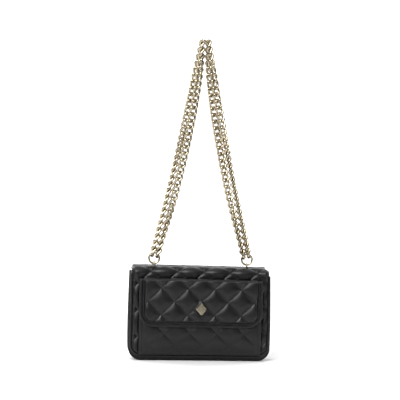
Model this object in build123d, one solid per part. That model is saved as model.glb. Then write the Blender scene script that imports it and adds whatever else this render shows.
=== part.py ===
from build123d import *
import math
import os

# Quilted crossbody purse with a full-width cover, an outside pocket with its own flap and a doubled curb chain.
# Millimetres, +Z up, front towards -Y. The bag is laid out with its base at height 0 and its middle at X 0;
# every piece is then shifted so that the origin is the chain's hang point.

# ---- purse body ---------------------------------------------------------------------------------------
BODY_HALF = 104.0          # half width over the gusset
BODY_FRONT = -15.5         # outer face of the front panel
BODY_REAR = 22.0           # outer face of the rear panel
BODY_TOP = 131.0           # height of the rear panel and of the gusset's rear edge
FRONT_TOP = 126.0          # height of the front panel, lower so that it clears the cover's bend
BODY_CORNER = 17.0         # radius of the two lower corners, seen from the front
PANEL_T = 2.5              # panel leather with its foam
GUSSET_T = 2.2
BOARD_T = 1.5              # stiffener in the base
BODY_LINING_T = 0.8
PIPING_WIDTH = 3.4
PIPING_T = 1.1
RIM_SETBACK = 1.0          # the piping ends this far below the panels' top edges
SLOPE_RUN = 7.0            # depth over which the gusset's top rises from the front panel to the rear one
SLOPE_CLEARANCE = 0.5
LINING_SETBACK = 2.0       # the lining ends this far below the front panel's top edge
SLIP_HALF = 79.5           # card pocket sewn to the lining's rear wall
SLIP_BOTTOM = 34.0
SLIP_TOP = 108.0
SLIP_CORNER = 8.0
SLIP_DEPTH = 6.0
SLIP_T = 0.8
SLIP_EDGE = 1.2            # width of its folded, sewn edge

# ---- cover --------------------------------------------------------------------------------------------
COVER_HALF = 104.5
COVER_GAP = 1.0            # between the body's top and the cover's inner side
COVER_BOTTOM = 4.5
COVER_CORNER = 18.0
BEND_RADIUS = 5.0          # inner radius of the bend over the front top edge
LINING_T = 0.8
STIFF_T = 1.0
SKIN_T = 4.2               # quilted leather and foam
LIP_T = 0.8                # binding leather
BINDING_WIDTH = 3.2
BINDING_FRONT = 1.8        # thickness of the binding's folded front lip
FOLD_LENGTH = 16.0         # rear fold strip, down the rear panel
FOLD_T = 1.4
FOLD_INSET = 2.0           # the fold strip stops this far short of the panel's sides
COVER_BODY_PLAY = 0.5      # between the front panel and the cover's inner side
COVER_BACK_INSET = 0.3     # the cover's rear edge stops this far short of the rear panel's face
BINDING_TOP = 128.5        # the binding ends at the bend; above it the cover's sides are turned edges

# ---- outside pocket -----------------------------------------------------------------------------------
POCKET_HALF = 90.5
POCKET_TOP = 118.0
POCKET_FOOT = 8.2
POCKET_BELLY = 34.0        # height below which the pocket runs back to the cover
POCKET_ROOM = 5.2
POCKET_LINING_T = 0.8
POCKET_PANEL_T = 2.8
POCKET_GUSSET_T = 1.4

# ---- pocket flap --------------------------------------------------------------------------------------
FLAP_HALF = 91.5
FLAP_TOP = 121.6
FLAP_BOTTOM = 50.0
FLAP_CORNER = 22.0
FLAP_LINING_T = 0.8
FLAP_BASE_T = 2.0
PAD_INSET = 8.6
PAD_T = 5.4
PAD_ROUND = 2.6
SHELF_T = 1.6              # the flap's leather where it runs back over the pocket's mouth
SHELF_GAP = 0.4            # from the shelf's rear edge to the cover
FLAP_GAP = 0.3             # from the pocket's face to the flap's lining

# ---- closures and trim --------------------------------------------------------------------------------
SNAP_HEIGHT = 60.0
SNAP_RADIUS = 6.5
SNAP_T = 1.2
STUD_RADIUS = 2.1
STUD_CLEARANCE = 0.6
STUD_REACH = 1.5
MAGNET_RADIUS = 7.0
MAGNET_T = 1.8
MAGNET_HEIGHT = 30.0
EMBLEM_HEIGHT = 78.0
EMBLEM_HALF_W = 8.3
EMBLEM_HALF_H = 9.6
EMBLEM_T = 2.2
EMBLEM_CORNER = 2.0
PRONG_SPREAD = 3.0
PRONG_RADIUS = 0.7
EMBLEM_BEVEL = 0.6
WASHER_HALF_H = 3.0        # half height of the emblem's backing strip
SOCKET_FLOOR = 0.6         # free depth below the stud's end

# ---- posts, rings and chain ---------------------------------------------------------------------------
POST_X = 69.5
POST_Y = -8.0              # over the centre of mass of what hangs from the posts
POST_FLANGE_R = 3.2
POST_FLANGE_T = 1.2
POST_SHANK_R = 2.0
SCREW_R = 1.1
SCREW_HOLE_R = 1.15
SCREW_HEAD_R = 2.3
SCREW_HEAD_T = 1.1
SCREW_LENGTH = 4.4
WASHER_R = 2.95
WASHER_T = 0.6
EYE_RADIUS = 2.7
EYE_WIRE = 0.9
RING_RADIUS = 7.8
RING_WIRE = 1.0
LINK_WIRE = 1.4            # radius of the chain's wire
LINK_HALF_W = 4.05         # link corners, before rounding
LINK_HALF_T = 4.4
LINK_HALF_L = 6.8
LINK_ROUNDING = 0.98       # share of the largest corner radius that the link's four sides allow
LINK_PITCH = 9.75          # wished distance from link to link
END_REACH = 2.6            # from a strand's first link centre to the ring's wire
TOP_REACH = 4.75           # from the top link's centre to the strand, across and down
TOP_SLIP = 2.6             # how far the strands sit aside of the top link, fore and aft
STRAND_SAMPLES = 400
OUTER_BOW = 1.15           # power that shapes a strand: 1 is straight
INNER_BOW = 1.5
CHAIN_TOP = 473.7          # height of the highest link's centre above the bag's base
HANG_RISE = 3.4            # from that centre up to the chain's top surface
LOOP_SPREAD = 6.6          # half the distance between the two loops at the hang point
OUTER_HOLD = 107.0         # where the outer and inner strands sit on the left ring, degrees from +X
INNER_HOLD = 47.0

EPS = 0.01


def sheet_yz(points, half):
    """Extrude a closed outline in the YZ plane to both sides of X 0."""
    face = make_face(Polyline(*[(0, y, z) for y, z in points], close=True).edges())
    return extrude(face, amount=half, dir=(1, 0, 0), both=True)


def box_between(low, high):
    size = [h - l for l, h in zip(low, high)]
    middle = [(l + h) / 2 for l, h in zip(low, high)]
    return Pos(*middle) * Box(*size)


def front_outline(half, bottom, top, radius, y_low, y_high):
    """A block whose front view is a rectangle with rounded lower corners."""
    block = box_between((-half, y_low, bottom), (half, y_high, top))
    lower = [e for e in block.edges().filter_by(Axis.Y) if e.center().Z < bottom + EPS]
    return fillet(lower, radius)


def disc(radius, y_low, y_high, height, x=0.0):
    """A round disc with its axis along Y."""
    part = Cylinder(radius, y_high - y_low)
    return Pos(x, (y_low + y_high) / 2, height) * Rot(90, 0, 0) * part


def post_hole(radius):
    return [Pos(side * POST_X, POST_Y, BODY_TOP) * Cylinder(radius, 4 * SKIN_T) for side in (-1, 1)]


# ---- cover layers: offsets count outwards from the cover's inner side ---------------------------------
INNER_FRONT = BODY_FRONT - COVER_BODY_PLAY
INNER_TOP = BODY_TOP + COVER_GAP
O_LINING = LIP_T
O_BOARD = O_LINING + LINING_T
O_SKIN = O_BOARD + STIFF_T
O_FACE = O_SKIN + SKIN_T
O_LIP = O_SKIN + BINDING_FRONT
COVER_FACE = INNER_FRONT - O_FACE
COVER_TOP = INNER_TOP + O_FACE
COVER_BACK = BODY_REAR - COVER_BACK_INSET


def wrap_solid(o_in, o_out, half, bottom):
    """One layer of the cover: over the top from the rear edge, round the bend and down the front."""
    with BuildPart() as layer:
        with BuildSketch(Plane.YZ):
            with BuildLine():
                bend_y = INNER_FRONT + BEND_RADIUS
                bend_z = INNER_TOP - BEND_RADIUS
                r_out = BEND_RADIUS + o_out
                r_in = BEND_RADIUS + o_in
                Line((COVER_BACK, INNER_TOP + o_out), (bend_y, INNER_TOP + o_out))
                CenterArc((bend_y, bend_z), r_out, 90, 90)
                Line((INNER_FRONT - o_out, bend_z), (INNER_FRONT - o_out, bottom))
                Line((INNER_FRONT - o_out, bottom), (INNER_FRONT - o_in, bottom))
                Line((INNER_FRONT - o_in, bottom), (INNER_FRONT - o_in, bend_z))
                CenterArc((bend_y, bend_z), r_in, 180, -90)
                Line((bend_y, INNER_TOP + o_in), (COVER_BACK, INNER_TOP + o_in))
                Line((COVER_BACK, INNER_TOP + o_in), (COVER_BACK, INNER_TOP + o_out))
            make_face()
        extrude(amount=half, both=True)
    return layer.part


def cover_layer(o_in, o_out, inset):
    """A cover layer trimmed to the cover's rounded outline, less an inset at the sides and the bottom."""
    half = COVER_HALF - inset
    bottom = COVER_BOTTOM + inset
    outline = front_outline(half, bottom, COVER_TOP + 1, COVER_CORNER - inset, COVER_FACE - 1, BODY_REAR + 1)
    return wrap_solid(o_in, o_out, half, bottom) & outline


def make_cover():
    holes = post_hole(POST_SHANK_R + EPS)
    lip_inset = BINDING_WIDTH
    web = LIP_T
    skin = cover_layer(O_SKIN, O_FACE, lip_inset + EPS) - holes
    board = cover_layer(O_BOARD, O_SKIN, web) - holes
    lining = cover_layer(O_LINING, O_BOARD, web) - holes
    binding = cover_layer(0, O_LIP, 0) - cover_layer(O_LINING, O_SKIN, web)
    binding = binding - cover_layer(-1, O_FACE + 1, lip_inset)
    ears = []
    for side in (-1, 1):
        spans = sorted((side * (COVER_HALF - lip_inset), side * (COVER_HALF + 1)))
        ears.append(box_between((spans[0], COVER_FACE - 1, BINDING_TOP), (spans[1], BODY_REAR, COVER_TOP + 1)))
    board = board - ears
    lining = lining - ears
    binding = binding - ears
    magnet_y = INNER_FRONT - O_SKIN
    magnet = disc(MAGNET_RADIUS, magnet_y - MAGNET_T, magnet_y, MAGNET_HEIGHT)
    skin = skin - disc(MAGNET_RADIUS, magnet_y - MAGNET_T, magnet_y + 1, MAGNET_HEIGHT)
    return {"cover_skin": skin, "cover_board": board, "cover_lining": lining, "cover_binding": binding,
            "cover_magnet": magnet}


def make_pocket():
    lining_y = COVER_FACE - POCKET_ROOM
    panel_y = lining_y - POCKET_LINING_T
    face_y = panel_y - POCKET_PANEL_T
    foot = COVER_FACE - POCKET_GUSSET_T
    inner_half = POCKET_HALF - POCKET_GUSSET_T
    panel_points = [(panel_y, POCKET_TOP), (face_y, POCKET_TOP), (face_y, POCKET_BELLY),
                    (foot - POCKET_PANEL_T, POCKET_FOOT), (COVER_FACE, POCKET_FOOT),
                    (COVER_FACE, POCKET_FOOT + POCKET_GUSSET_T), (foot, POCKET_FOOT + POCKET_GUSSET_T),
                    (panel_y, POCKET_BELLY)]
    panel = sheet_yz(panel_points, POCKET_HALF)
    lining_points = [(lining_y, POCKET_TOP), (panel_y, POCKET_TOP), (panel_y, POCKET_BELLY),
                     (foot, POCKET_FOOT + POCKET_GUSSET_T), (COVER_FACE, POCKET_FOOT + POCKET_GUSSET_T),
                     (COVER_FACE, POCKET_FOOT + 2 * POCKET_GUSSET_T),
                     (foot + FLAP_GAP, POCKET_FOOT + 2 * POCKET_GUSSET_T),
                     (lining_y, POCKET_BELLY)]
    lining = sheet_yz(lining_points, inner_half)
    side_points = [(COVER_FACE, POCKET_TOP), (panel_y, POCKET_TOP), (panel_y, POCKET_BELLY),
                   (foot, POCKET_FOOT + POCKET_GUSSET_T), (COVER_FACE, POCKET_FOOT + POCKET_GUSSET_T)]
    block = sheet_yz(side_points, POCKET_HALF)
    gusset = block - box_between((-inner_half, face_y - 1, 0), (inner_half, COVER_FACE + 1, POCKET_TOP + 1))
    socket = disc(SNAP_RADIUS, face_y, face_y + SNAP_T, SNAP_HEIGHT)
    socket = socket - disc(STUD_RADIUS + STUD_CLEARANCE, face_y - 1, face_y + SNAP_T + 1, SNAP_HEIGHT)
    panel = panel - disc(SNAP_RADIUS, face_y - 1, face_y + SNAP_T, SNAP_HEIGHT)
    stud_room = disc(STUD_RADIUS + STUD_CLEARANCE, face_y - 1, face_y + STUD_REACH + SOCKET_FLOOR, SNAP_HEIGHT)
    panel = panel - stud_room
    return {"pocket_panel": panel, "pocket_lining": lining, "pocket_gusset": gusset,
            "pocket_snap_socket": socket}


POCKET_FACE = COVER_FACE - POCKET_ROOM - POCKET_LINING_T - POCKET_PANEL_T
FLAP_BACK = POCKET_FACE - FLAP_GAP
BASE_BACK = FLAP_BACK - FLAP_LINING_T
BASE_FACE = BASE_BACK - FLAP_BASE_T
PAD_FACE = BASE_FACE - PAD_T
SHELF_BACK = COVER_FACE - SHELF_GAP


def make_flap():
    base = front_outline(FLAP_HALF, FLAP_BOTTOM, FLAP_TOP, FLAP_CORNER, BASE_FACE, BASE_BACK)
    shelf = box_between((-FLAP_HALF, BASE_FACE, FLAP_TOP - SHELF_T), (FLAP_HALF, SHELF_BACK, FLAP_TOP))
    base = base + shelf
    inset = LIP_T
    lining = front_outline(FLAP_HALF - inset, FLAP_BOTTOM + inset, FLAP_TOP - SHELF_T, FLAP_CORNER - inset,
                           BASE_BACK, FLAP_BACK)
    pad = front_outline(FLAP_HALF - PAD_INSET, FLAP_BOTTOM + PAD_INSET, FLAP_TOP - SHELF_T,
                        FLAP_CORNER - PAD_INSET, PAD_FACE, BASE_FACE)
    rim = pad.faces().sort_by(Axis.Y)[0].edges()
    pad = fillet(rim, PAD_ROUND)
    prongs = []
    for side in (-1, 1):
        prongs.append(disc(PRONG_RADIUS, PAD_FACE - EPS, BASE_BACK, EMBLEM_HEIGHT, side * PRONG_SPREAD))
    rim_points = [(0, EMBLEM_HALF_H), (EMBLEM_HALF_W, 0), (0, -EMBLEM_HALF_H), (-EMBLEM_HALF_W, 0)]
    outline = make_face(Polyline(*rim_points, close=True).edges())
    outline = fillet(outline.vertices(), EMBLEM_CORNER)
    plate = extrude(outline, amount=EMBLEM_T)
    plate = chamfer(plate.faces().sort_by(Axis.Z)[-1].edges(), EMBLEM_BEVEL)
    plate = Pos(0, PAD_FACE, EMBLEM_HEIGHT) * Rot(90, 0, 0) * plate
    emblem = plate + prongs
    washer_low = BASE_BACK
    washer = box_between((-EMBLEM_HALF_W, washer_low - SNAP_T / 2, EMBLEM_HEIGHT - WASHER_HALF_H),
                         (EMBLEM_HALF_W, washer_low, EMBLEM_HEIGHT + WASHER_HALF_H))
    pad = pad - prongs
    base = base - prongs - washer
    washer = washer - prongs
    stud = disc(SNAP_RADIUS, FLAP_BACK - FLAP_LINING_T, FLAP_BACK, SNAP_HEIGHT)
    stud = stud + disc(STUD_RADIUS, FLAP_BACK - EPS, FLAP_BACK + FLAP_GAP + STUD_REACH, SNAP_HEIGHT)
    lining = lining - disc(SNAP_RADIUS, BASE_BACK - 1, FLAP_BACK + 1, SNAP_HEIGHT)
    return {"flap_base": base, "flap_pad": pad, "flap_lining": lining, "emblem": emblem, "emblem_washer": washer,
            "pocket_snap_stud": stud}


def rim_ring(half, thickness, y_low, y_high, top):
    """A U-shaped strip round the body's two sides and base."""
    outer = front_outline(half, BODY_HALF - half, top, BODY_CORNER + half - BODY_HALF, y_low, y_high)
    inner_half = half - thickness
    inner = front_outline(inner_half, BODY_HALF - inner_half, top + 1, BODY_CORNER + inner_half - BODY_HALF,
                          y_low - 1, y_high + 1)
    return outer - inner


def slip_pocket(rear):
    """The card pocket: a flat panel and its folded, sewn edge in straight and corner runs."""
    front = rear - SLIP_DEPTH
    panel_in = front + SLIP_T
    panel = front_outline(SLIP_HALF, SLIP_BOTTOM, SLIP_TOP, SLIP_CORNER, front, panel_in)
    edge = front_outline(SLIP_HALF, SLIP_BOTTOM, SLIP_TOP, SLIP_CORNER, panel_in, rear)
    edge = edge - front_outline(SLIP_HALF - SLIP_EDGE, SLIP_BOTTOM + SLIP_EDGE, SLIP_TOP + 1,
                                SLIP_CORNER - SLIP_EDGE, panel_in - 1, rear + 1)
    straight = SLIP_HALF - SLIP_CORNER
    corner_z = SLIP_BOTTOM + SLIP_CORNER
    runs = [((-straight, front, SLIP_BOTTOM), (straight, rear, corner_z))]
    for low_x, high_x in ((-SLIP_HALF, -straight), (straight, SLIP_HALF)):
        runs.append(((low_x, front, SLIP_BOTTOM), (high_x, rear, corner_z)))
        runs.append(((low_x, front, corner_z), (high_x, rear, SLIP_TOP)))
    pieces = [panel]
    for low, high in runs:
        pieces.append((edge & box_between(low, high)).solids()[0])
    return Compound(pieces)


def make_body():
    front_in = BODY_FRONT + PANEL_T
    rear_in = BODY_REAR - PANEL_T
    front = front_outline(BODY_HALF, 0, FRONT_TOP, BODY_CORNER, BODY_FRONT, front_in)
    rear = front_outline(BODY_HALF, 0, BODY_TOP, BODY_CORNER, rear_in, BODY_REAR)
    gusset = rim_ring(BODY_HALF, GUSSET_T, front_in, rear_in, BODY_TOP)
    slope_top = BODY_TOP + SLOPE_CLEARANCE
    slope_points = [(front_in - 1, FRONT_TOP - SLOPE_CLEARANCE), (front_in + SLOPE_RUN, slope_top),
                    (front_in - 1, slope_top)]
    slope = sheet_yz(slope_points, BODY_HALF + PIPING_T + 1)
    gusset = gusset - slope
    pipe_half = BODY_HALF + PIPING_T
    front_piping = rim_ring(pipe_half, PIPING_T, BODY_FRONT, BODY_FRONT + PIPING_WIDTH,
                            FRONT_TOP - RIM_SETBACK)
    rear_piping = rim_ring(pipe_half, PIPING_T, BODY_REAR - PIPING_WIDTH, BODY_REAR,
                           BODY_TOP - RIM_SETBACK)
    wall = GUSSET_T
    board_half = BODY_HALF - BODY_CORNER
    board = box_between((-board_half, front_in, wall), (board_half, rear_in, wall + BOARD_T))
    floor = wall + BOARD_T
    lining_half = BODY_HALF - wall
    lining = front_outline(lining_half, floor, FRONT_TOP - LINING_SETBACK, BODY_CORNER - wall, front_in, rear_in)
    hollow = front_outline(lining_half - BODY_LINING_T, floor + BODY_LINING_T, BODY_TOP, BODY_CORNER - floor,
                           front_in + BODY_LINING_T, rear_in - BODY_LINING_T)
    corner_block = front_outline(lining_half, wall, BODY_TOP, BODY_CORNER - wall, BODY_FRONT, BODY_REAR)
    lining = (lining & corner_block) - hollow
    slip = slip_pocket(rear_in - BODY_LINING_T)
    magnet_y = BODY_FRONT + MAGNET_T
    magnet = disc(MAGNET_RADIUS, BODY_FRONT, magnet_y, MAGNET_HEIGHT)
    front = front - disc(MAGNET_RADIUS, BODY_FRONT - 1, magnet_y, MAGNET_HEIGHT)
    fold_half = BODY_HALF - FOLD_INSET
    fold_low = (-fold_half, BODY_REAR, BODY_TOP - FOLD_LENGTH)
    fold = box_between(fold_low, (fold_half, BODY_REAR + FOLD_T, BODY_TOP))
    return {"front_panel": front, "rear_panel": rear, "gusset": gusset, "front_piping": front_piping,
            "rear_piping": rear_piping, "base_board": board, "purse_lining": lining, "inner_pocket": slip,
            "body_magnet": magnet, "rear_fold": fold}


EYE_HEIGHT = COVER_TOP + POST_FLANGE_T + EYE_RADIUS


def make_posts():
    posts = []
    washers = []
    screws = []
    lining_under = INNER_TOP + O_LINING
    for side in (-1, 1):
        spot = Pos(side * POST_X, POST_Y, 0)
        flange = Pos(0, 0, COVER_TOP + POST_FLANGE_T / 2) * Cylinder(POST_FLANGE_R, POST_FLANGE_T)
        shank_length = COVER_TOP - lining_under
        shank = Pos(0, 0, lining_under + shank_length / 2) * Cylinder(POST_SHANK_R, shank_length)
        eye = Pos(0, 0, EYE_HEIGHT) * Rot(0, 90, 0) * Torus(EYE_RADIUS, EYE_WIRE)
        hole_length = SCREW_LENGTH + 1
        hole = Pos(0, 0, lining_under + hole_length / 2 - EPS) * Cylinder(SCREW_HOLE_R, hole_length)
        posts.append(spot * (flange + shank + eye - hole))
        washer = Cylinder(WASHER_R, WASHER_T) - Cylinder(SCREW_HOLE_R, 2 * WASHER_T)
        washers.append(spot * Pos(0, 0, lining_under - WASHER_T / 2) * washer)
        head_top = lining_under - WASHER_T
        head = Pos(0, 0, head_top - SCREW_HEAD_T / 2) * Cylinder(SCREW_HEAD_R, SCREW_HEAD_T)
        shaft = Pos(0, 0, head_top + SCREW_LENGTH / 2 - EPS) * Cylinder(SCREW_R, SCREW_LENGTH)
        screws.append(spot * (head + shaft))
    return {"strap_posts": Compound(posts), "post_washers": Compound(washers), "post_screws": Compound(screws)}


def curb_link():
    """One link: four straight runs between corners lifted in turn, joined by arcs, swept with round wire."""
    w, t, l = LINK_HALF_W, LINK_HALF_T, LINK_HALF_L
    corners = [Vector(w, t, l), Vector(w, -t, -l), Vector(-w, t, -l), Vector(-w, -t, l)]
    count = len(corners)
    bends = []
    for i, corner in enumerate(corners):
        before = (corners[i - 1] - corner).normalized()
        after = (corners[(i + 1) % count] - corner).normalized()
        turn = math.pi - math.acos(before.dot(after))
        radius = LINK_ROUNDING * math.hypot(w, t) / math.tan(turn / 2)
        reach = radius * math.tan(turn / 2)
        bisector = (before + after).normalized()
        centre = corner + bisector * (radius / math.cos(turn / 2))
        bends.append((corner + before * reach, centre - bisector * radius, corner + after * reach))
    edges = []
    for i, bend in enumerate(bends):
        edges.append(ThreePointArc(*bend))
        edges.append(Line(bend[2], bends[(i + 1) % count][0]))
    halves = []
    for side in (edges[:count], edges[count:]):
        path = Wire(side)
        start = Plane(origin=path.position_at(0), z_dir=path.tangent_at(0))
        halves.append(sweep(start * Circle(LINK_WIRE), path=path))
    whole = halves[0] + halves[1]
    return whole.solids()[0]


def placed(link, centre, direction, turn):
    """A link with its length along the direction and its width turned about it, from the fore-and-aft way."""
    d = direction.normalized()
    across = Vector(0, 1, 0)
    across = (across - d * across.dot(d)).normalized()
    side = d.cross(across)
    a = math.radians(turn)
    width = across * math.cos(a) + side * math.sin(a)
    return Plane(origin=centre, x_dir=width, z_dir=d).location * link


def strand_turn(share, stops):
    """The link's turn about the strand, from straight runs between (share of length, degrees) stops."""
    for (s0, t0), (s1, t1) in zip(stops, stops[1:]):
        if share <= s1:
            return t0 + (t1 - t0) * (share - s0) / (s1 - s0)
    return stops[-1][1]


def strand(link, start, end, bow, stops):
    """Links from a ring's wire up to the top link, evenly spaced along a strand that bows in towards the top."""
    points = []
    for i in range(STRAND_SAMPLES + 1):
        down = 1 - i / STRAND_SAMPLES
        points.append(Vector(end.X + (start.X - end.X) * down ** bow, end.Y + (start.Y - end.Y) * down,
                             end.Z + (start.Z - end.Z) * down))
    lengths = [0]
    for a, b in zip(points, points[1:]):
        lengths.append(lengths[-1] + (b - a).length)
    room = lengths[-1] - END_REACH - TOP_REACH
    count = round(room / LINK_PITCH)
    links = []
    for i in range(count + 1):
        at = END_REACH + room * i / count
        k = next(n for n, length in enumerate(lengths) if length >= at)
        a, b = points[k - 1], points[k]
        d = (b - a).normalized()
        links.append(placed(link, a + d * (at - lengths[k - 1]), d, strand_turn(i / count, stops)))
    return links


# where a strand sits on its ring, how strongly it bows, and its turn from the ring (0) to the hang point (1);
# each loop runs from an outer strand on one side to an inner strand on the other
OUTER = (OUTER_HOLD, OUTER_BOW, [(0, 190), (0.4, 170), (0.75, 95), (1, 7)])
INNER = (INNER_HOLD, INNER_BOW, [(0, 190), (0.3, 115), (0.75, 90), (1, 7)])
STRANDS = {
    "chain_rear_left": OUTER,
    "chain_front_left": INNER,
    "chain_rear_right": INNER,
    "chain_front_right": OUTER,
}


def make_strap():
    link = curb_link()
    ring_centre_z = EYE_HEIGHT + RING_RADIUS
    ring = Rot(90, 0, 0) * Torus(RING_RADIUS, RING_WIRE)
    rings = [Pos(side * POST_X, POST_Y, ring_centre_z) * ring for side in (-1, 1)]
    parts = {"strap_rings": Compound(rings)}
    for name, (hold_at, bow, stops) in STRANDS.items():
        side = -1 if name.endswith("left") else 1
        hold = math.radians(hold_at)
        start = Vector(side * (POST_X - RING_RADIUS * math.cos(hold)), POST_Y,
                       ring_centre_z + RING_RADIUS * math.sin(hold))
        loop_y = POST_Y + (LOOP_SPREAD if name.startswith("chain_rear") else -LOOP_SPREAD)
        end = Vector(side * TOP_REACH, loop_y - side * TOP_SLIP, CHAIN_TOP)
        links = strand(link, start, end, bow, stops)
        if side < 0:
            links.append(placed(link, Vector(0, loop_y, CHAIN_TOP), Vector(1, 0, 0), 0))
        parts[name] = Compound(links)
    return parts


parts = {}
parts.update(make_strap())
parts.update(make_cover())
parts.update(make_pocket())
parts.update(make_posts())
parts.update(make_flap())
parts.update(make_body())

to_origin = Pos(0, -POST_Y, -(CHAIN_TOP + HANG_RISE))
os.makedirs("parts", exist_ok=True)
for name, shape in parts.items():
    export_step(to_origin * shape, f"parts/{name}.step")
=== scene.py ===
import bpy
import math
import numpy as np
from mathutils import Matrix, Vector


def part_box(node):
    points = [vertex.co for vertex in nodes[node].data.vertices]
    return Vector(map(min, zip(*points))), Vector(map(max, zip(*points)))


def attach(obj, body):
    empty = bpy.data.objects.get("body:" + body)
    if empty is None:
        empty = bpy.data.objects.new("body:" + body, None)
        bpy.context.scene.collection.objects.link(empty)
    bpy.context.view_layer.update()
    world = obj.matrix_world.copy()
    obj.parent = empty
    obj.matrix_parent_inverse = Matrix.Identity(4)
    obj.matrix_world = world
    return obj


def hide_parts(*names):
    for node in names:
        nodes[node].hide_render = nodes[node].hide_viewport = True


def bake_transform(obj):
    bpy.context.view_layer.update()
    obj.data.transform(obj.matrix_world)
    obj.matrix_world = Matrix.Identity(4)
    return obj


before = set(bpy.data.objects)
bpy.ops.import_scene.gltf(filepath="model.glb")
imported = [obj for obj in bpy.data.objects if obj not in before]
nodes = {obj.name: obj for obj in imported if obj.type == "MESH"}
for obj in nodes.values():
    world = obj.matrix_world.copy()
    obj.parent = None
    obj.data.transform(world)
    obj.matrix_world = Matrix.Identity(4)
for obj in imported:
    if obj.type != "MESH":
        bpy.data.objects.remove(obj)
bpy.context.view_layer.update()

# ---- the shared frame: millimetres over the purse's base -----------------------------------------
MM = 0.001


def smooth(t):
    t = np.clip(t, 0, 1)
    return t * t * (3 - 2 * t)


def bulge(t, power):
    """0 at the seam rising to 1, steep at first like stuffed leather."""
    return 1 - (1 - np.clip(t, 0, 1)) ** power


def low(node, axis):
    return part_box(node)[0][axis] / MM


def high(node, axis):
    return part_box(node)[1][axis] / MM


BASE = low("gusset", 2)
FACE_IN_FRONT = 15.5       # the front panel's face lies this far in front of the purse's own depth of 0
DEPTH = low("front_panel", 1) + FACE_IN_FRONT

SLUMP = 1.5                # how far the unfilled right-hand end of the top sinks
SLUMP_FROM = -70.0         # where across the width the sinking starts
SLUMP_SPAN = 190.0         # the width over which it grows
SLUMP_HEIGHT = 135.0       # the height at which it is full


def to_frame(points):
    """Purse millimetres (n, 3) to frame metres, with the soft purse's slight slump to one side."""
    p = np.array(points, float)
    across = smooth((p[:, 0] - SLUMP_FROM) / SLUMP_SPAN)
    p[:, 2] -= SLUMP * across * smooth(p[:, 2] / SLUMP_HEIGHT)
    return (p + np.array([0.0, DEPTH, BASE])) * MM


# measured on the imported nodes, except for corners, thicknesses and the quilt, which the CAD shares
BODY_HALF = high("gusset", 0)
BODY_FRONT = low("front_panel", 1) - DEPTH
BODY_REAR = high("rear_panel", 1) - DEPTH
BODY_TOP = high("gusset", 2) - BASE
FRONT_TOP = high("front_panel", 2) - BASE
BODY_CORNER = 17.0
COVER_HALF = high("cover_binding", 0)
COVER_FACE = low("cover_skin", 1) - DEPTH
COVER_TOP = high("cover_skin", 2) - BASE
COVER_FOOT = low("cover_binding", 2) - BASE
COVER_BACK = high("cover_skin", 1) - DEPTH
COVER_CORNER = 18.0
COVER_THICK = 6.8
COVER_BEND = 5.0           # inner radius of the bend from the front to the top
SKIN_BACK = 1.6            # the skin's inner side, over the lining
BINDING = 3.2              # width of the binding
BINDING_END = high("cover_binding", 2) - BASE
POCKET_HALF = high("pocket_panel", 0)
POCKET_TOP = high("pocket_panel", 2) - BASE
POCKET_FOOT = low("pocket_panel", 2) - BASE
POCKET_FACE = low("pocket_panel", 1) - DEPTH
FLAP_HALF = high("flap_base", 0)
FLAP_TOP = high("flap_base", 2) - BASE
FLAP_FOOT = low("flap_base", 2) - BASE
FLAP_FACE = low("flap_base", 1) - DEPTH
FLAP_SEAM = high("flap_base", 1) - DEPTH
FLAP_CORNER = 22.0
FLAP_THICK = 2.0
PAD_FACE = low("flap_pad", 1) - DEPTH
QUILT = 39.6               # from crossing to crossing, along the width
QUILT_REACH = QUILT / math.sqrt(8)
QUILT_FLOOR = 0.2          # share of the puff that the diamonds have right beside a seam
CREASE = 0.8               # half width of the tight crease that a seam pulls


# ---- small geometry helpers ----------------------------------------------------------------------
def lattice(x, z, shift):
    """Distance to the nearest seam of each diagonal family."""
    out = []
    for sign in (1, -1):
        a = ((x - shift[0]) + sign * (z - shift[1])) / QUILT
        out.append(np.abs(a - np.round(a)) * QUILT / math.sqrt(2))
    return out


def quilt(x, z, shift, power):
    """Pillowed diamonds: 0 on the seams, 1 in the middle of each, with a tight crease along each seam."""
    a, b = lattice(x, z, shift)
    pillow = bulge(a / QUILT_REACH, power) * bulge(b / QUILT_REACH, power)
    crease = np.exp(-(np.minimum(a, b) / CREASE) ** 2)
    return QUILT_FLOOR + (1 - QUILT_FLOOR) * pillow - QUILT_FLOOR * crease


def inset_of(x, z, half, foot, top, corner):
    """Distance inwards from an outline with rounded lower corners."""
    side = half - np.abs(x)
    lower = z - foot
    edge = np.minimum(np.minimum(side, lower), top - z)
    in_corner = (side < corner) & (lower < corner)
    rounded = corner - np.hypot(corner - side, corner - lower)
    return np.where(in_corner, np.minimum(rounded, top - z), edge)


def half_at(z, half, foot, corner):
    """Half width of such an outline at a height."""
    drop = np.clip(corner - (z - foot), 0, corner)
    return half - corner + np.sqrt(np.maximum(corner ** 2 - drop ** 2, 0))


def heights(foot, top, corner, step):
    """Heights from foot to top, closer together in the rounded corners."""
    n = max(int(corner / step * 1.6), 4)
    lower = foot + corner * (1 - np.cos(np.linspace(0, math.pi / 2, n)))
    upper = np.linspace(foot + corner, top, max(int((top - foot - corner) / step), 2) + 1)
    return np.concatenate([lower, upper[1:]])


def add_mesh(name, verts, faces, material, body=None, smooth_angle=None):
    mesh = bpy.data.meshes.new(name)
    mesh.from_pydata([tuple(v) for v in verts], [], [tuple(int(i) for i in f) for f in faces])
    mesh.update()
    mesh.polygons.foreach_set("use_smooth", [True] * len(mesh.polygons))
    obj = bpy.data.objects.new(name, mesh)
    bpy.context.scene.collection.objects.link(obj)
    mesh.materials.append(material)
    if smooth_angle is not None:
        mesh.set_sharp_from_angle(angle=math.radians(smooth_angle))
    if body:
        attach(obj, body)
    return obj


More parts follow.
